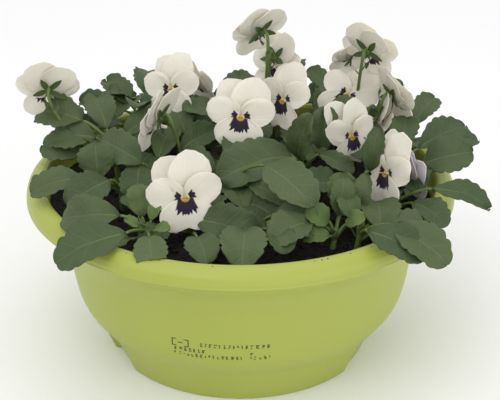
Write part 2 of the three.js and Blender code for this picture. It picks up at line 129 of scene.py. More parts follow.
# A shoot: root, crown, and its leaves: heading, reach, rise, length, width, tilt, lean, turn
SHOOTS = [
    ((-46, -60), (-46, -66, 97), [
        (195, 13, 8, 31, 20, -8, 0.8, -22),
        (-115, 20, 6, 37, 23, -18, 0.7, -50),
        (-82, 18, 4, 20, 17, -28, 0.2),
        (110, 8, 2, 17, 13, 60, 0.8),
        (-150, 10, -4, 15, 12, 0, 0.5),
        (60, 4, 2, 10, 7, 50, 0.5),
        (200, 4, 1, 9, 7, 35, 0.5),
        (-40, 5, 0, 11, 8, 20, 0.5),
    ]),
    ((-62, -24), (-62, -28, 103), [
        (-155, 19, 7, 30, 16, -14, 0.7, -20),
        (-125, 8, 5, 27, 20, -14, 1, -16),
        (170, 12, 2, 19, 20, 62, 0.9, -70),
        (-60, 8, -4, 20, 15, 0, 0.6),
        (60, 8, -2, 22, 15, 20, 0.6),
    ]),
    ((-66, 6), (-70, 6, 112), [
        (160, 16, 10, 32, 22, -6, 0.9, -16),
        (175, 8, 2, 27, 20, -6, 0.9, -12),
        (-170, 14, -6, 25, 20, 2, 0.9, -30),
        (110, 8, 4, 26, 18, 25, 0.5),
        (30, 8, 2, 22, 15, 20, 0.6),
    ]),
    ((-46, -16), (-46, -14, 106), [
        (-140, 7, 4, 27, 20, 20, 1, -66),
        (-150, 8, 2, 20, 19, -38, 0.3, 56),
        (70, 6, 2, 24, 16, 25, 0.5),
        (-50, 7, -6, 20, 16, 0, 0.6),
    ]),
    ((-22, -56), (-26, -54, 94), [
        (-60, 7, 4, 33, 21, -9, 0.9, 48),
        (-75, 20, 1, 22, 18, -8, 0.4),
        (-140, 12, -1, 18, 14, -6, 0.5),
        (150, 8, 2, 20, 14, 15, 0.6),
    ]),
    ((6, -56), (6, -56, 95), [
        (-105, 13, 2, 30, 24, -9, 0.6, 12),
        (-60, 18, 3, 18, 15, -14, 0.4),
        (-10, 10, 4, 26, 20, -4, 0.7, -20),
        (110, 8, 3, 24, 18, 10, 0.6),
    ]),
    ((-6, -24), (-6, -26, 104), [
        (-35, 22, 14, 38, 22, -16, 0.7, -14),
        (-50, 16, 3, 25, 15, -12, 0.5, 20),
        (-70, 12, -6, 33, 24, -6, 0.8, 30),
        (-120, 10, -2, 28, 20, -10, 0.7),
        (150, 8, 2, 24, 17, 12, 0.6),
    ]),
    ((34, -6), (34, -8, 106), [
        (-150, 8, 5, 45, 27, -2, 0.8),
        (-110, 7, 4, 36, 15, 64, 0.6, 30),
        (50, 14, 3, 24, 16, 78, 0.9),
        (-25, 8, 6, 21, 11, -20, 0.6),
        (100, 8, 0, 26, 18, 15, 0.6),
    ]),
    ((46, -66), (48, -63, 95), [
        (70, 6, 4, 20, 13, 76, 0.9),
        (80, 16, 4, 18, 16, 74, 0.9),
        (-120, 8, -1, 15, 12, 4, 0.5, -48),
        (40, 14, 3, 22, 10, 76, 0.9),
        (190, 4, 4, 14, 13, 30, 0.9),
        (-20, 5, 3, 11, 10, 30, 0.7),
        (-160, 14, 6, 25, 20, -10, 0.6, 12),
    ]),
    ((58, -66), (60, -70, 98), [
        (-85, 14, 6, 31, 18, -14, 0.8, 58),
        (-45, 19, 9, 32, 20, -24, 0.7, 12),
        (10, 9, -1, 22, 16, 0, 0.5),
        (120, 6, 2, 16, 12, 40, 0.7),
    ]),
    ((76, -34), (80, -36, 98), [
        (-15, 18, 8, 33, 15, -18, 0.5, 14),
        (-50, 12, 2, 24, 16, -8, 0.5),
        (-150, 12, 1, 26, 22, 0, 0.8, 60),
        (60, 8, 2, 24, 18, 10, 0.6),
    ]),
    ((82, 0), (86, -2, 102), [
        (-30, 12, 3, 28, 22, 18, 1, 24),
        (20, 10, 8, 29, 18, 18, 0.6),
        (80, 8, 6, 24, 16, 24, 0.5),
        (-80, 9, 0, 24, 18, 0, 0.8),
        (170, 8, 2, 22, 15, 15, 0.6),
    ]),
    ((60, -24), (62, -26, 104), [
        (-20, 5, 6, 26, 11, 82, 0.9),
        (170, 9, -4, 24, 18, -2, 0.7),
        (-110, 8, -4, 24, 18, -4, 0.7),
        (60, 8, 2, 22, 14, 20, 0.6),
    ]),
    ((-26, 4), (-26, 0, 108), [
        (-160, 7, 2, 27, 16, 14, 0.9, -160),
        (40, 9, 0, 26, 18, 8, 0.6),
        (110, 10, 6, 24, 16, 20, 0.5),
        (-60, 8, -6, 24, 18, -4, 0.7),
    ]),
]
YOUNG_SHOOTS = {0: 0.55, 8: 0.6}  # how fresh a shoot's small leaves are

# The shoots behind, whose leaves follow one another round the stem by the golden angle: root, crown, leaves
GOLDEN_ANGLE = 137.5
BACK_SHOOTS = [
    ((-74, 34), (-80, 36, 108), 4),
    ((-52, 66), (-56, 72, 108), 5),
    ((-50, 40), (-56, 44, 114), 5),
    ((-22, 72), (-22, 80, 108), 5),
    ((-4, 36), (-4, 36, 116), 4),
    ((6, 6), (4, 10, 108), 4),
    ((22, 76), (24, 82, 108), 5),
    ((34, 40), (36, 40, 114), 4),
    ((58, 70), (64, 76, 106), 5),
    ((84, 38), (92, 38, 104), 4),
]


def spiral_leaves(count, first):
    return [
        (first + i * GOLDEN_ANGLE, 13 - i, -8 + 3 * i, 29 - 1.5 * i, 19 - i, 4 + 6 * i, 0.4)
        for i in range(count)
    ]


all_shoots = SHOOTS + [
    (root, crown, spiral_leaves(count, 40 * i))
    for i, (root, crown, count) in enumerate(BACK_SHOOTS)
]


# ---- Meshes ----


def bearing_vector(degrees):
    return Vector((math.cos(math.radians(degrees)), math.sin(math.radians(degrees)), 0))


def bezier(a, b, c, t):
    return a * (1 - t) ** 2 + b * 2 * t * (1 - t) + c * t * t


def bezier_tangent(a, b, c, t):
    return ((b - a) * (1 - t) + (c - b) * t).normalized()


def spline(points, t):
    """A Catmull-Rom curve through the points, for t from 0 to 1."""
    spans = len(points) - 1
    k = min(int(t * spans), spans - 1)
    u = t * spans - k
    p1, p2 = points[k], points[k + 1]
    p0 = points[k - 1] if k > 0 else p1 * 2 - p2
    p3 = points[k + 2] if k + 2 <= spans else p2 * 2 - p1
    return (
        p1 * 2 + (p2 - p0) * u + (p0 * 2 - p1 * 5 + p2 * 4 - p3) * u**2 + (p1 * 3 - p0 - p2 * 3 + p3) * u**3
    ) / 2


# The material slots of a piece
FIRST_SLOT, STEM_SLOT = 0, 1


class Maker:
    """Gathers closed bodies, in millimetres, into one mesh. Each vertex carries facts for its material: skin
    is (across, along, kind) on a blade and (angle, distance from the throat, kind) on a petal, and tint is
    (freshness, upper side, chance)."""

    def __init__(self):
        self.points, self.faces, self.slots, self.skin, self.tint = [], [], [], [], []

    def vertex(self, point, skin=(0, 0, 0), tint=(0, 1, 0)):
        self.points.append(point * MM)
        self.skin.append(skin)
        self.tint.append(tint)
        return len(self.points) - 1

    def face(self, corners, slot=FIRST_SLOT):
        self.faces.append(corners)
        self.slots.append(slot)

    def sheet(self, rows, cols, place, chance, kind=0, fresh=0.0, facts=None):
        """place(along, across, side) gives a point of a thin body's skin; its two sides meet at the edges."""
        grids = {}
        for side in (1, -1):
            grid = []
            for i in range(rows + 1):
                row = []
                along = 0.5 - 0.5 * math.cos(math.pi * i / rows)
                for j in range(cols + 1):
                    across = math.sin(math.pi * (j / cols - 0.5))
                    border = i in (0, rows) or j in (0, cols)
                    if border and side == -1:
                        row.append(grids[1][i][j])
                        continue
                    point = place(along, across, 0 if border else side)
                    upper = 1 if side == 1 else 0
                    skin = facts(along, across) if facts else (across, along)
                    row.append(self.vertex(point, (*skin, kind), (fresh, upper, chance)))
                grid.append(row)
            grids[side] = grid
        for side, grid in grids.items():
            for i in range(rows):
                for j in range(cols):
                    quad = [grid[i][j], grid[i][j + 1], grid[i + 1][j + 1], grid[i + 1][j]]
                    self.face(quad if side == 1 else quad[::-1])

    def tube(self, path, radius, rows, sides, slot=FIRST_SLOT):
        """A round rod along path(t), with radius(t), closed at both ends."""
        rings = []
        right = None
        for i in range(rows + 1):
            t = i / rows
            here = path(t)
            tangent = (path(min(1, t + 0.01)) - path(max(0, t - 0.01))).normalized()
            if right is None:
                right = tangent.orthogonal().normalized()
            right = (right - tangent * right.dot(tangent)).normalized()
            other = tangent.cross(right)
            ring = []
            for k in range(sides):
                angle = 2 * math.pi * k / sides
                offset = right * math.cos(angle) + other * math.sin(angle)
                ring.append(self.vertex(here + offset * radius(t), (0, t, 0)))
            rings.append(ring)
        for lower, higher in zip(rings, rings[1:]):
            for k in range(sides):
                n = (k + 1) % sides
                self.face([lower[k], lower[n], higher[n], higher[k]], slot)
        self.face(rings[0][::-1], slot)
        self.face(rings[-1], slot)

    def lump(self, centre, radii, seed, roughness=0.25, levels=2, skin=(0, 0, 0), tint=(0, 1, 0)):
        """A small rounded lump, uneven by its seed."""
        ball = bmesh.new()
        bmesh.ops.create_icosphere(ball, subdivisions=levels, radius=1)
        index = {}
        for v in ball.verts:
            swell = 1 + roughness * noise.noise(v.co * 1.6 + Vector((seed, seed * 0.7, 0)))
            point = Vector([c * r * swell for c, r in zip(v.co, radii)]) + centre
            index[v.index] = self.vertex(point, skin, tint)
        for f in ball.faces:
            self.face([index[v.index] for v in f.verts])
        ball.free()

    def build(self, name, materials, record_slot, *nodes, smooth=True):
        mesh = bpy.data.meshes.new(name)
        mesh.from_pydata(self.points, [], self.faces)
        for label, values in (("skin", self.skin), ("tint", self.tint)):
            layer = mesh.attributes.new(label, "FLOAT_VECTOR", "POINT")
            layer.data.foreach_set("vector", [c for value in values for c in value])
        for material in materials:
            mesh.materials.append(material)
        mesh.polygons.foreach_set("material_index", self.slots)
        mesh.polygons.foreach_set("use_smooth", [smooth] * len(self.faces))
        tidy = bmesh.new()
        tidy.from_mesh(mesh)
        bmesh.ops.dissolve_degenerate(tidy, dist=1e-6, edges=tidy.edges)
        bmesh.ops.recalc_face_normals(tidy, faces=tidy.faces)
        tidy.to_mesh(mesh)
        tidy.free()
        piece = bpy.data.objects.new(name, mesh)
        bpy.context.scene.collection.objects.link(piece)
        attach(piece, "root")
        if nodes:
            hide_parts(*nodes)
        return piece


# ---- Materials ----


class Graph:
    """A Principled material, with short ways to add nodes to it."""

    def __init__(self, name, **constants):
        self.material = bpy.data.materials.new(name)
        self.material.use_nodes = True
        self.tree = self.material.node_tree
        self.shader = self.tree.nodes["Principled BSDF"]
        for socket, value in constants.items():
            self.shader.inputs[socket.replace("_", " ")].default_value = value

    def node(self, kind, inputs, **settings):
        made = self.tree.nodes.new("ShaderNode" + kind)
        for key, value in settings.items():
            setattr(made, key, value)
        for key, value in inputs.items():
            if isinstance(value, bpy.types.NodeSocket):
                self.tree.links.new(value, made.inputs[key])
            else:
                made.inputs[key].default_value = value
        return made

    def math(self, operation, a, b=0.0):
        return self.node("Math", {0: a, 1: b}, operation=operation).outputs[0]

    def fade(self, value, low, high):
        """1 at or under low, 0 at or over high, smooth between."""
        ends = {0: value, 1: low, 2: high, 3: 1.0, 4: 0.0}
        return self.node("MapRange", ends, interpolation_type="SMOOTHSTEP").outputs[0]

    def mix(self, share, a, b):
        made = self.node("Mix", {0: share, 6: a, 7: b}, data_type="RGBA")
        return made.outputs[2]

    def noise(self, scale, detail=3.0, vector=None, stretch=None):
        if vector is None:
            vector = self.node("TexCoord", {}).outputs["Object"]
        if stretch:
            vector = self.node("VectorMath", {0: vector, 1: stretch}, operation="MULTIPLY").outputs[0]
        return self.node("TexNoise", {"Vector": vector, "Scale": scale, "Detail": detail}).outputs["Fac"]

    def facts(self, label):
        vector = self.node("Attribute", {}, attribute_name=label).outputs["Vector"]
        return self.node("SeparateXYZ", {0: vector}).outputs

    def link(self, socket, name):
        self.tree.links.new(socket, self.shader.inputs[name])

    def bump(self, height, strength, distance):
        made = self.node("Bump", {"Height": height, "Strength": strength, "Distance": distance})
        self.link(made.outputs[0], "Normal")


def leaf_material():
    g = Graph("leaf", Specular_IOR_Level=0.32)
    across, along = g.facts("skin")[:2]
    fresh, upper, chance = g.facts("tint")
    side = g.math("ABSOLUTE", across)
    midrib = g.fade(side, 0.015, 0.085)
    step = g.math("SUBTRACT", g.math("MULTIPLY", along, SIDE_VEINS), g.math("MULTIPLY", side, VEIN_SLANT))
    from_vein = g.math("ABSOLUTE", g.math("SUBTRACT", g.math("FRACT", step), 0.5))
    branches = g.math("MULTIPLY", g.fade(from_vein, 0.02, 0.1), g.fade(side, 0.55, 0.95))
    vein = g.math("MAXIMUM", midrib, g.math("MULTIPLY", branches, 0.55))
    blotches = g.noise(120.0)
    colour = g.mix(blotches, (0.034, 0.060, 0.020, 1), (0.064, 0.098, 0.036, 1))
    colour = g.mix(g.math("MULTIPLY", chance, 0.6), colour, (0.10, 0.135, 0.055, 1))
    colour = g.mix(fresh, colour, (0.15, 0.23, 0.05, 1))
    colour = g.mix(g.math("MULTIPLY", vein, 0.26), colour, (0.17, 0.22, 0.10, 1))
    below = g.math("SUBTRACT", 1.0, upper)
    colour = g.mix(g.math("MULTIPLY", below, 0.55), colour, (0.13, 0.19, 0.085, 1))
    g.link(colour, "Base Color")
    grain = g.noise(1400.0, 2.0)
    g.link(g.math("ADD", 0.46, g.math("MULTIPLY", grain, 0.22)), "Roughness")
    puckered = g.math("ADD", g.math("MULTIPLY", vein, -0.7), g.math("MULTIPLY", g.noise(420.0), 0.8))
    g.bump(g.math("ADD", puckered, g.math("MULTIPLY", grain, 0.25)), 0.5, 0.0007)
    return g.material


def petal_material(name, light, shade):
    g = Graph(name, Specular_IOR_Level=0.25, Sheen_Weight=0.15, Subsurface_Weight=0.4, Subsurface_Scale=0.003)
    g.shader.inputs["Subsurface Radius"].default_value = (1.0, 0.95, 0.85)
    angle, distance, kind = g.facts("skin")
    turned = g.math("ABSOLUTE", angle)
    lower = g.math("GREATER_THAN", kind, 1.5)
    lateral = g.math("MULTIPLY", g.math("GREATER_THAN", kind, 0.5), g.math("LESS_THAN", kind, 1.5))
    fan = g.node("CombineXYZ", {0: angle, 1: kind, 2: 0.0}).outputs[0]
    rays = g.noise(6.5, 1.0, vector=fan)
    streaks = g.noise(13.0, 3.0, vector=fan)
    cloud = g.noise(90.0, 2.0)
    colour = g.mix(g.math("MULTIPLY", streaks, 0.6), light, shade)
    colour = g.mix(g.math("MULTIPLY", cloud, 0.25), colour, shade)
    colour = g.mix(g.math("MULTIPLY", g.fade(distance, 0.05, 0.5), 0.4), colour, (0.60, 0.57, 0.34, 1))
    # The blotch of the lower petal ends in rays, and each side petal has a small mark of the same colour.
    blotch_end = g.math("ADD", 0.27, g.math("MULTIPLY", rays, 0.36))
    blotch = g.math("MULTIPLY", g.fade(g.math("SUBTRACT", distance, blotch_end), -0.02, 0.015), lower)
    aside = g.math("MULTIPLY", g.math("SINE", turned), distance)
    flare = g.math("ADD", 0.12, g.math("MULTIPLY", distance, 0.42))
    blotch = g.math("MULTIPLY", blotch, g.fade(g.math("SUBTRACT", aside, flare), -0.01, 0.015))
    mark_end = g.math("ADD", 0.2, g.math("MULTIPLY", rays, 0.16))
    mark = g.math("MULTIPLY", g.fade(g.math("SUBTRACT", distance, mark_end), -0.02, 0.015), lateral)
    mark = g.math("MULTIPLY", mark, g.fade(turned, 0.34, 0.5))
    mark = g.math("MULTIPLY", mark, g.math("GREATER_THAN", distance, 0.13))
    colour = g.mix(g.math("MAXIMUM", blotch, mark), colour, (0.010, 0.002, 0.018, 1))
    eye = g.math("MULTIPLY", g.fade(distance, 0.1, 0.14), lower)
    colour = g.mix(g.math("MULTIPLY", eye, 0.95), colour, (0.60, 0.36, 0.03, 1))
    g.link(colour, "Base Color")
    g.link(g.math("ADD", 0.5, g.math("MULTIPLY", streaks, 0.15)), "Roughness")
    g.bump(g.math("ADD", streaks, g.math("MULTIPLY", g.noise(700.0), 0.4)), 0.35, 0.0006)
    return g.material


def stalk_material():
    g = Graph("stalk", Specular_IOR_Level=0.4)
    fresh = g.facts("tint")[0]
    mottled = g.noise(300.0, 2.0, stretch=(1, 1, 0.25))
    colour = g.mix(mottled, (0.075, 0.12, 0.03, 1), (0.15, 0.21, 0.055, 1))
    colour = g.mix(fresh, colour, (0.03, 0.05, 0.018, 1))
    g.link(colour, "Base Color")
    g.link(g.math("ADD", 0.38, g.math("MULTIPLY", mottled, 0.2)), "Roughness")
    g.bump(mottled, 0.3, 0.0003)
    return g.material


def bowl_material():
    g = Graph("lime_plastic", Specular_IOR_Level=0.45)
    cloud = g.noise(9.0, 2.0)
    flow = g.noise(30.0, 2.0, stretch=(1, 1, 0.15))
    colour = g.mix(cloud, (0.33, 0.38, 0.055, 1), (0.39, 0.44, 0.078, 1))
    colour = g.mix(g.math("MULTIPLY", flow, 0.2), colour, (0.42, 0.46, 0.11, 1))
    specks = g.node("TexVoronoi", {"Scale": 420.0}).outputs["Distance"]
    colour = g.mix(g.math("MULTIPLY", g.fade(specks, 0.03, 0.09), 0.35), colour, (0.1, 0.1, 0.03, 1))
    g.link(colour, "Base Color")
    g.link(g.math("ADD", 0.36, g.math("MULTIPLY", cloud, 0.14)), "Roughness")
    g.bump(g.math("ADD", g.noise(900.0, 2.0), g.math("MULTIPLY", flow, 0.6)), 0.12, 0.0004)
    return g.material


def soil_material():
    g = Graph("compost", Specular_IOR_Level=0.2)
    fine = g.noise(500.0, 5.0)
    colour = g.mix(g.fade(fine, 0.35, 0.7), (0.003, 0.003, 0.003, 1), (0.018, 0.014, 0.011, 1))
    g.link(colour, "Base Color")
    g.link(g.math("ADD", 0.8, g.math("MULTIPLY", fine, 0.15)), "Roughness")
    g.bump(fine, 0.9, 0.0015)
    return g.material


def ink_material():
    g = Graph("print_ink", Specular_IOR_Level=0.3)
    faded = g.noise(700.0)
    g.link(g.mix(faded, (0.015, 0.02, 0.012, 1), (0.05, 0.07, 0.025, 1)), "Base Color")
    g.link(g.math("ADD", 0.5, g.math("MULTIPLY", faded, 0.2)), "Roughness")
    return g.material


LEAF = leaf_material()
STALK = stalk_material()
WHITE = petal_material("petal_white", (0.84, 0.79, 0.67, 1), (0.68, 0.64, 0.51, 1))
LILAC = petal_material("petal_lilac", (0.66, 0.6, 0.66, 1), (0.54, 0.49, 0.53, 1))
PLASTIC = bowl_material()
COMPOST = soil_material()
INK = ink_material()


# ---- Bowl ----


def notch_share(bearing):
    """1 where the foot is set back, 0 where it stands out, with a short slope between."""
    share = 0
    for start, end in FOOT_NOTCHES:
        middle, half = (start + end) / 2, (end - start) / 2
        off = abs((bearing - middle + 180) % 360 - 180)
        share = max(share, min(1, max(0, (half - off) / 1.2 + 0.5)))
    return share


def rounded(outline, radius, steps=3):
    """The outline with each of its corners turned into a short curve."""
    points = [Vector(p) for p in outline]
    result = [points[0]]
    for before, corner, after in zip(points, points[1:], points[2:]):
        start = corner + (before - corner).normalized() * min(radius, (before - corner).length * 0.4)
        end = corner + (after - corner).normalized() * min(radius, (after - corner).length * 0.4)
        result += [bezier(start, corner, end, i / steps) for i in range(steps + 1)]
    return result + [points[-1]]


def wall_curve(points, count):
    spots = [Vector(p) for p in points]
    return [spline(spots, i / count) for i in range(count + 1)]


def drill(piece):
    """Cuts the drain holes through the bowl's floor."""
    cutters = []
    for i in range(DRAIN_HOLES):
        bearing = (i + 0.5) / DRAIN_HOLES * 2 * math.pi
        place = Vector((math.cos(bearing), math.sin(bearing), 0)) * DRAIN_CIRCLE_RADIUS * MM
        shape = bmesh.new()
        bmesh.ops.create_cone(
            shape,
            cap_ends=True,
            segments=32,
            radius1=DRAIN_HOLE_RADIUS * MM,
            radius2=DRAIN_HOLE_RADIUS * MM,
            depth=20 * MM,
            matrix=Matrix.Translation(place),
        )
        mesh = bpy.data.meshes.new("drain_cutter")
        shape.to_mesh(mesh)
        shape.free()
        cutter = bpy.data.objects.new("drain_cutter", mesh)
        bpy.context.scene.collection.objects.link(cutter)
        cut = piece.modifiers.new("drain", "BOOLEAN")
        cut.operation = "DIFFERENCE"
        cut.solver = "EXACT"
        cut.object = cutter
        cutters.append(cutter)
    evaluated = piece.evaluated_get(bpy.context.evaluated_depsgraph_get())
    drilled = bpy.data.meshes.new_from_object(evaluated)
    piece.modifiers.clear()
    piece.data = drilled
    for cutter in cutters:
        bpy.data.objects.remove(cutter)


WALL_FOOT = [(FOOT_TOP_RADIUS, FOOT_HEIGHT), (87.8, 29.1), (91.2, 38.8)]
WALL_BELLY = [(94.3, 58), (96.6, 67.2), (101.1, 75.9), (109.1, 84.5)]
OUTER_WALL = wall_curve(WALL_FOOT + WALL_BELLY, 36)


def build_bowl():
    inner_wall = wall_curve([(103.4, 84), (97.6, 76.4), (91.2, 58), (88, 39), (75.5, 18)], 16)
    rim_outside = [(109.6, 87.6), (114.3, 88), (114.95, 88.7), (114.6, 89.5), (114.8, 91), (114, 93.9)]
    rim_top = [(112, 96.2), (109.6, 97.6), (107, BOWL_HEIGHT)]
    rim_inside = [(105.2, 97.3), (104.3, 95.4), (103.9, 90)]
    rim = rim_outside + rim_top + rim_inside
    base = [(0, 0), (22, 0), (24, 2.5), (63, 2.5), (65, 0), (FOOT_RADIUS, 0)]
    flare = FOOT_TOP_RADIUS - FOOT_RADIUS
    foot = [(FOOT_RADIUS + flare * h / FOOT_HEIGHT, h) for h in (2, 5, 9, 13, 17, 18.6)]
    outline = rounded(base + foot, 0.7) + [tuple(p) for p in OUTER_WALL]
    outline += rounded(rim, 0.5) + [tuple(p) for p in inner_wall] + [(67, 5.5), (0, 5.5)]
    maker = Maker()
    rings = []
    for radius, height in outline:
        if radius < 0.01:
            rings.append([maker.vertex(Vector((0, 0, height)))])
            continue
        ring = []
        for k in range(BOWL_SEGMENTS):
            bearing = 360 * k / BOWL_SEGMENTS
            r = radius
            if height < FOOT_HEIGHT - 0.9 and radius > FOOT_RADIUS - 2.5:
                r -= NOTCH_DEPTH * notch_share(bearing)
            angle = math.radians(bearing)
            ring.append(maker.vertex(Vector((r * math.sin(angle), -r * math.cos(angle), height))))
        rings.append(ring)
    for lower, higher in zip(rings, rings[1:]):
        for k in range(BOWL_SEGMENTS):
            n = (k + 1) % BOWL_SEGMENTS
            if len(lower) == 1:
                maker.face([lower[0], higher[n], higher[k]])
            elif len(higher) == 1:
                maker.face([lower[k], lower[n], higher[0]])
            else:
                maker.face([lower[k], lower[n], higher[n], higher[k]])
    drill(maker.build("bowl", [PLASTIC], "lime_plastic", "pot"))


def wall_radius(height):
    """The outside radius of the bowl's wall at a height above its foot."""
    for low, high in zip(OUTER_WALL, OUTER_WALL[1:]):
        if height <= high.y:
            return low.x + (high.x - low.x) * (height - low.y) / (high.y - low.y)
    return OUTER_WALL[-1].x


# The ink marks low on the front: a small frame and rows of dashes that can't be read.
MARK_LIFT = 0.08
MARK_DEPTH = 0.4
MARK_LINE = 0.5
# Each row of dashes: from x, to x, at height z
MARK_ROWS = [(-20, 14, 43.6), (-33, -17, 39.4), (5, 7, 39.4), (-33, 1, 36.2), (5, 16, 36.2)]


def ink_dash(maker, x, z, width, height):
    """A thin raised dash on the bowl's wall, from x to x + width, its middle at height z."""
    a = []
    for lift in (-MARK_DEPTH, MARK_LIFT):
        for dx, dz in ((0, -1), (1, -1), (1, 1), (0, 1)):
            at_z = z + dz * height / 2
            radius = wall_radius(at_z) + lift
            angle = math.asin((x + dx * width) / radius)
            a.append(maker.vertex(Vector((radius * math.sin(angle), -radius * math.cos(angle), at_z))))
    for quad in ((0, 3, 2, 1), (4, 5, 6, 7), (0, 1, 5, 4), (1, 2, 6, 5), (2, 3, 7, 6), (3, 0, 4, 7)):
        maker.face([a[k] for k in quad])


def build_marks():
    chance = random.Random(5)
    maker = Maker()
    for z in (41.4, 45.6):
        ink_dash(maker, -34, z, 8.4, MARK_LINE)
    for x in (-34, -26):
        ink_dash(maker, x, 43.5, MARK_LINE, 4.4)
    ink_dash(maker, -31, 43.5, 2.4, MARK_LINE)
    for start, end, z in MARK_ROWS:
        x = start
        while x < end:
            width = chance.uniform(0.7, 1.7)
            for rise in (-0.7, 0.1, 0.9):
                if chance.random() < 0.8:
                    left = x + chance.uniform(0, 0.3)
                    ink_dash(maker, left, z + rise, width * chance.uniform(0.5, 1), MARK_LINE)
            x += width + chance.uniform(0.8, 1.4)
    maker.build("print_marks", [INK], "lime_plastic", smooth=False)


# ---- Compost ----


def soil_height(x, y):
    centre = max(0, 1 - math.hypot(x, y) / SOIL_RADIUS)
    rough = noise.fractal(Vector((x, y, 0)) * 0.09, 0.7, 2.2, 4)
    return SOIL_HEIGHT - 0.4 + 2.4 * centre + 1.3 * rough


def build_soil():
    chance = random.Random(11)
    maker = Maker()
    top = [[maker.vertex(Vector((0, 0, soil_height(0, 0))))]]
    for i in range(1, SOIL_RINGS + 1):
        radius = SOIL_RADIUS * (i / SOIL_RINGS) ** 0.8
        ring = []
        for k in range(SOIL_SEGMENTS):
            angle = 2 * math.pi * k / SOIL_SEGMENTS
            x, y = radius * math.cos(angle), radius * math.sin(angle)
            ring.append(maker.vertex(Vector((x, y, soil_height(x, y)))))
        top.append(ring)
    for radius, height in SOIL_SIDES:
        top.append([
            maker.vertex(Vector((radius * math.cos(a), radius * math.sin(a), height)))
            for a in (2 * math.pi * k / SOIL_SEGMENTS for k in range(SOIL_SEGMENTS))
        ])
    top.append([maker.vertex(Vector((0, 0, SOIL_SIDES[-1][1])))])
    for inner, outer in zip(top, top[1:]):
        for k in range(SOIL_SEGMENTS):
            n = (k + 1) % SOIL_SEGMENTS
            if len(inner) == 1:
                maker.face([inner[0], outer[k], outer[n]])
            elif len(outer) == 1:
                maker.face([inner[k], outer[0], inner[n]])
            else:
                maker.face([inner[k], outer[k], outer[n], inner[n]])
    for i in range(CRUMBS):
        radius = SOIL_RADIUS * math.sqrt(chance.random()) * 0.97
        angle = chance.uniform(0, 2 * math.pi)
        x, y = radius * math.cos(angle), radius * math.sin(angle)
        size = chance.uniform(0.6, 1.9)
        radii = [size * chance.uniform(0.6, 1.3), size * chance.uniform(0.6, 1.3), size * 0.7]
        maker.lump(Vector((x, y, soil_height(x, y) + size * 0.1)), radii, i * 0.37, roughness=0.7, levels=1)
    # A few grains lie on the rim.
    for i in range(RIM_GRAINS):
        angle = chance.uniform(0, 2 * math.pi)
        size = chance.uniform(0.18, 0.5)
        east, north = RIM_GRAIN_RADIUS * math.cos(angle), RIM_GRAIN_RADIUS * math.sin(angle)
        spot = Vector((east, north, BOWL_HEIGHT - 0.25))
        maker.lump(spot, [size, size * 0.8, size * 0.6], i * 1.3, roughness=0.7, levels=1)
    maker.build("compost", [COMPOST], "compost", "soil", smooth=False)


# ---- Leaves ----


def over_rim(point, face):
    """A leaf that reaches the rim lies on it."""
    radius = math.hypot(point.x, point.y)
    if RIM_INSIDE < radius < RIM_RADIUS + 0.6:
        rim_top = BOWL_HEIGHT + 0.6 - RIM_ROUNDING * max(0, radius - 107) ** 2
        point.z = max(point.z, rim_top + face * BLADE_THICKNESS / 2)
    return point


def blade(maker, base, heading, tilt, length, width, lean, chance, fresh):
    """A leaf's blade arches out from its base along its heading, folded up a little at the midrib."""
    level = math.cos(math.radians(tilt))
    outward = bearing_vector(heading) * level + UP * math.sin(math.radians(tilt))
    light = Vector((0, -lean, 1))
    normal = (light - outward * light.dot(outward)).normalized()
    side = normal.cross(outward)
    control = base + outward * length / 2 + normal * 2 * BLADE_ARCH * length
    tip = base + outward * length
    teeth = 6.5 if length > LONG_BLADE else 4.5
    seed = chance.uniform(0, 50)
    twist = chance.uniform(-0.12, 0.12)
    droop = chance.uniform(-0.03, 0.07)

    def place(along, across, face):
        taper = math.sin(math.pi / 2 * min(1, along / WIDEST)) ** 0.85
        blunt = math.sqrt(1 - max(0, (along - WIDEST) / (1 - WIDEST)) ** BLUNTNESS)
        tooth = 1 - abs(math.sin(math.pi * (teeth * along + 0.2))) ** 0.8
        half = width / 2 * max(0.04, taper * blunt)
        reach = across * half * (1 - TOOTH_DEPTH * tooth * abs(across) ** 4 * min(1, along * 5))
        tangent = bezier_tangent(base, control, tip, along)
        out = tangent.cross(side)
        ripple = noise.noise(Vector((along * 3.2, across * 1.6, seed))) * RIPPLE * length
        edge = 0.05 * width * across**2 * math.sin(11 * along + seed)
        vein = math.sin(2 * math.pi * (SIDE_VEINS * along - VEIN_SLANT * abs(across)))
        edge += 0.012 * width * vein * abs(across)
        groove = -0.35 * math.exp(-((across / 0.08) ** 2)) * (1 - along)
        lift = BLADE_FOLD * abs(reach) * 2 + ripple * along + edge + groove + twist * reach * along
        lift -= droop * length * along**3
        swell = 0.35 * math.exp(-((across / 0.1) ** 2)) * (1 - along) * (face < 0)
        thick = face * (BLADE_THICKNESS / 2 + swell)
        point = bezier(base, control, tip, along)
        return over_rim(point + side * reach + out * (lift + thick), face)

    rows, cols = (44, 10) if length > LONG_BLADE else (24, 8)
    maker.sheet(rows, cols, place, chance.random(), fresh=fresh)

    # The midrib stands out under the blade.
    def rib(t):
        along = 0.04 + 0.86 * t
        out = bezier_tangent(base, control, tip, along).cross(side)
        ripple = noise.noise(Vector((along * 3.2, 0, seed))) * RIPPLE * length * along
        return bezier(base, control, tip, along) + out * (ripple - 0.35 - droop * length * along**3)

    maker.tube(rib, lambda t: 0.55 * (1 - t) + 0.12, 12, 6, slot=STEM_SLOT)


def stipule(maker, start, heading, length, chance):
    """A small, narrow leaf at the foot of a petiole."""
    outward = (bearing_vector(heading) + UP * 0.9).normalized()
    side = outward.cross(UP).normalized()
    out = side.cross(outward)
    curl = chance.uniform(0.1, 0.35)

    def place(along, across, face):
        half = 0.18 * length * math.sin(math.pi * (0.12 + 0.88 * along))
        point = start + outward * length * along + out * (curl * length * along**2)
        return point + side * across * half + out * (face * 0.22 + abs(across) * half * 0.3)

    maker.sheet(8, 4, place, chance.random(), fresh=0.35)


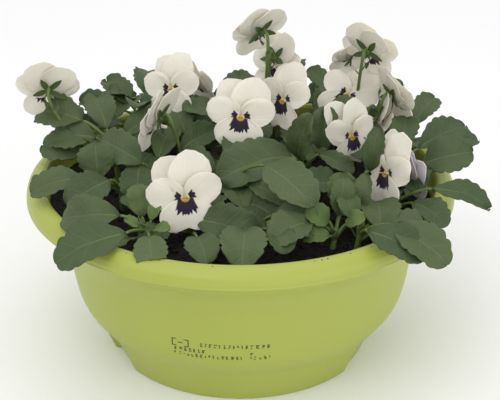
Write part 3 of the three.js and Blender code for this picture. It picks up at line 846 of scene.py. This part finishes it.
def build_shoot(index, root, crown, leaves):
    chance = random.Random(100 + index)
    maker = Maker()
    foot = Vector((root[0], root[1], SOIL_HEIGHT - ROOT_DEPTH))
    top = Vector(crown)
    middle = foot.lerp(top, 0.5) + UP * 2

    def stem(t):
        return spline([foot, middle, top], t)

    maker.tube(stem, lambda t: STEM_RADIUS * (1.1 - 0.25 * t), 12, 9, slot=STEM_SLOT)
    freshest = YOUNG_SHOOTS.get(index, 0.15)
    for row in leaves:
        heading, reach, rise, length, width, tilt, lean = row[:7]
        turn = row[7] if len(row) > 7 else 0
        out = bearing_vector(heading)
        base = top + out * reach + UP * rise
        share = (base.z - PETIOLE_DROP - foot.z) / (top.z - foot.z)
        start = stem(min(0.96, max(0.35, share)))
        elbow = base - out * reach * 0.4 - UP
        fresh = freshest * (1 - min(1, (length - 8) / 14)) if length < 22 else 0
        maker.tube(
            lambda t: bezier(start, elbow, base, t),
            lambda t: PETIOLE_RADIUS * (1.25 - 0.35 * t),
            9,
            7,
            slot=STEM_SLOT,
        )
        blade(maker, base, heading + turn, tilt, length, width, lean, chance, fresh)
        if length > STIPULED_LENGTH:
            for spread in (-38, 42):
                stipule(maker, start, heading + spread, chance.uniform(5, 9), chance)
    name = f"shoot_{index + 1:02d}"
    maker.build("leaves_" + name[-2:], [LEAF, STALK], "leaf_green", name)


# ---- Flowers ----


def flower_frame(at, facing, nod, roll):
    """The flower's own frame: +Z out of its throat and +Y towards its upper petals."""
    a, e = math.radians(facing), math.radians(nod)
    front = Vector((math.sin(a) * math.cos(e), -math.cos(a) * math.cos(e), math.sin(e)))
    right = UP.cross(front).normalized()
    top = front.cross(right)
    basis = Matrix((right, top, front)).transposed().to_4x4()
    return Matrix.Translation(at) @ basis @ Matrix.Rotation(-math.radians(roll), 4, "Z")


def petal(maker, row, size, at, chance):
    """A petal opens like a fan from the throat, and its outline is an oval through the throat."""
    heading, length, width, layer, back, notch, kind = row
    heading = math.radians(heading + chance.uniform(-4, 4))
    out = Vector((math.sin(heading), math.cos(heading), 0))
    side = Vector((-math.cos(heading), math.sin(heading), 0))
    front = Vector((0, 0, 1))
    seed = chance.uniform(0, 60)
    cup = chance.uniform(0.07, 0.13)
    skew = chance.uniform(-0.06, 0.06)
    slimness = (length / width) ** 2

    def polar(along, across):
        angle = across * FAN_ANGLE
        oval = math.cos(angle) / (math.cos(angle) ** 2 + slimness * math.sin(angle) ** 2)
        dent = 1 - notch * math.exp(-((angle / 0.26) ** 2)) * along
        ragged = 1 + 0.05 * noise.noise(Vector((angle * 3.5, seed, 0))) + skew * angle
        return angle, along * oval * dent * ragged

    def place(along, across, face):
        angle, distance = polar(along, across)
        reach = distance * length * size
        frill = noise.noise(Vector((angle * 3, seed, 2 * along))) * 0.055 * size * along**3
        pleat = math.sin(angle * 8 + seed) * 0.006 * size * along
        depth = layer * LAYER_STEP - 2.5 * max(0, 1 - distance) ** 3
        curl = cup * length * size * (distance**2 - 0.5 * abs(across) * distance)
        fall = back * reach * math.cos(angle)
        keel = 0.5 * math.exp(-((angle / 0.12) ** 2)) * (kind == LOWER) * along
        lift = depth - fall - curl + frill + pleat - keel
        point = out * (reach * math.cos(angle) - 0.4) + side * reach * math.sin(angle)
        return at @ (point + front * (lift + face * PETAL_THICKNESS / 2))

    maker.sheet(20, 24, place, chance.random(), kind=kind, facts=polar)


def build_flower(index, place_at, facing, nod, roll, size, root):
    chance = random.Random(300 + index)
    at = flower_frame(place_at, facing, nod, roll)
    lilac = index + 1 in LILAC_FLOWERS
    number = f"{index + 1:02d}"
    maker = Maker()
    for row in PETALS:
        petal(maker, row, size, at, chance)
    spur = [at @ Vector(p) for p in ((0, 0, -1), (0, -1.2, -5), (0, -1, -9))]
    maker.tube(lambda t: spline(spur, t), lambda t: 1.6 * (1 - 0.45 * t), 8, 10)
    maker.lump(at @ Vector((0, 0.6, -0.9)), (1, 1, 1), 3, roughness=0.1, skin=(0, 0, LOWER))
    material, record_slot = (LILAC, "petal_lilac") if lilac else (WHITE, "petal_white")
    maker.build("petals_" + number, [material], record_slot, "corolla_" + number)

    green = Maker()
    heart = Vector((0, 3, -4.8))
    for i in range(SEPALS):
        angle = math.radians((i + 0.5) * 360 / SEPALS)
        out = Vector((math.sin(angle), math.cos(angle), 0))
        side = Vector((math.cos(angle), -math.sin(angle), 0))
        length = SEPAL_LENGTH * size / USUAL_SIZE * chance.uniform(0.9, 1.1)
        bow = chance.uniform(0.6, 1.8)

        def place(along, across, face, out=out, side=side, length=length, bow=bow):
            half = SEPAL_WIDTH * math.sin(math.pi * (0.12 + 0.88 * along)) ** 0.8
            point = heart + out * (0.8 + along * (length - 0.8)) - side * across * half
            fall = 1.2 * along + bow * along**2 + 0.3 * abs(across) * half
            return at @ (point + Vector((0, 0, face * 0.3 - fall)))

        green.sheet(12, 6, place, chance.random(), fresh=0.55)
    green.lump(at @ heart, (1.9, 1.9, 1.9), index, roughness=0.15, tint=(0.3, 1, 0))
    head = at @ heart
    behind = (at.to_3x3() @ Vector((0, 0, -1))).normalized()
    foot = Vector((root[0], root[1], SOIL_HEIGHT - ROOT_DEPTH))
    hook = head + behind * 4 + UP * 3
    neck = head + behind * 7.5 - UP * 3
    middle = foot.lerp(neck, 0.55) + behind * 3
    way = [foot, middle, neck, hook, head]
    green.tube(lambda t: spline(way, t), lambda t: STALK_RADIUS * (1.15 - 0.2 * t), 44, 8)
    for share, spread in ((0.42, 30), (0.44, 210)):
        stipule(green, spline(way, share), spread + 40 * index, 4.5, chance)
    green.build("calyx_" + number, [STALK], "stalk_green", "stalk_" + number)


build_bowl()
build_marks()
build_soil()
for i, (root, crown, leaves) in enumerate(all_shoots):
    build_shoot(i, root, crown, leaves)
for i, flower in enumerate(FLOWERS):
    build_flower(i, *flower)


# ---- Studio ----

FLOOR_SIZE = 6
VIEW_ELEVATION = 25.8
VIEW_DISTANCE = 0.7
VIEW_TARGET = Vector((0.005, 0, 0.08))
LENS = 92.3


def build_floor():
    mesh = bpy.data.meshes.new("floor")
    half = FLOOR_SIZE / 2
    corners = [(-half, -half, 0), (half, -half, 0), (half, half, 0), (-half, half, 0)]
    mesh.from_pydata(corners, [], [(0, 1, 2, 3)])
    g = Graph("floor", Specular_IOR_Level=0.1, Roughness=0.8)
    g.link(g.mix(g.noise(3.0), (0.9, 0.9, 0.9, 1), (0.93, 0.93, 0.93, 1)), "Base Color")
    mesh.materials.append(g.material)
    floor = bpy.data.objects.new("floor", mesh)
    bpy.context.scene.collection.objects.link(floor)


def softbox(name, place, aim, size, power):
    light = bpy.data.lights.new(name, "AREA")
    light.size = size
    light.energy = power
    lamp = bpy.data.objects.new(name, light)
    lamp.location = place
    lamp.rotation_euler = (Vector(aim) - Vector(place)).to_track_quat("-Z", "Y").to_euler()
    bpy.context.scene.collection.objects.link(lamp)


build_floor()
softbox("key", (-0.5, -0.9, 1.3), (0, 0, 0.1), 0.9, 5)
softbox("fill", (1.0, -1.1, 0.45), (0, 0, 0.1), 1.2, 4.2)
softbox("top", (0, 0.3, 1.6), (0, 0, 0.1), 1.4, 4.5)

world = bpy.data.worlds.new("studio")
world.use_nodes = True
world.node_tree.nodes["Background"].inputs[0].default_value = (1, 1, 1, 1)
world.node_tree.nodes["Background"].inputs[1].default_value = 0.85
bpy.context.scene.world = world
bpy.context.scene.view_settings.view_transform = "Standard"

elevation = math.radians(VIEW_ELEVATION)
back = Vector((0, -math.cos(elevation), math.sin(elevation)))
lens = bpy.data.cameras.new("camera")
lens.sensor_width = 36
lens.lens = LENS
camera = bpy.data.objects.new("camera", lens)
camera.location = VIEW_TARGET + back * VIEW_DISTANCE
camera.rotation_euler = (-back).to_track_quat("-Z", "Y").to_euler()
bpy.context.scene.collection.objects.link(camera)
bpy.context.scene.camera = camera
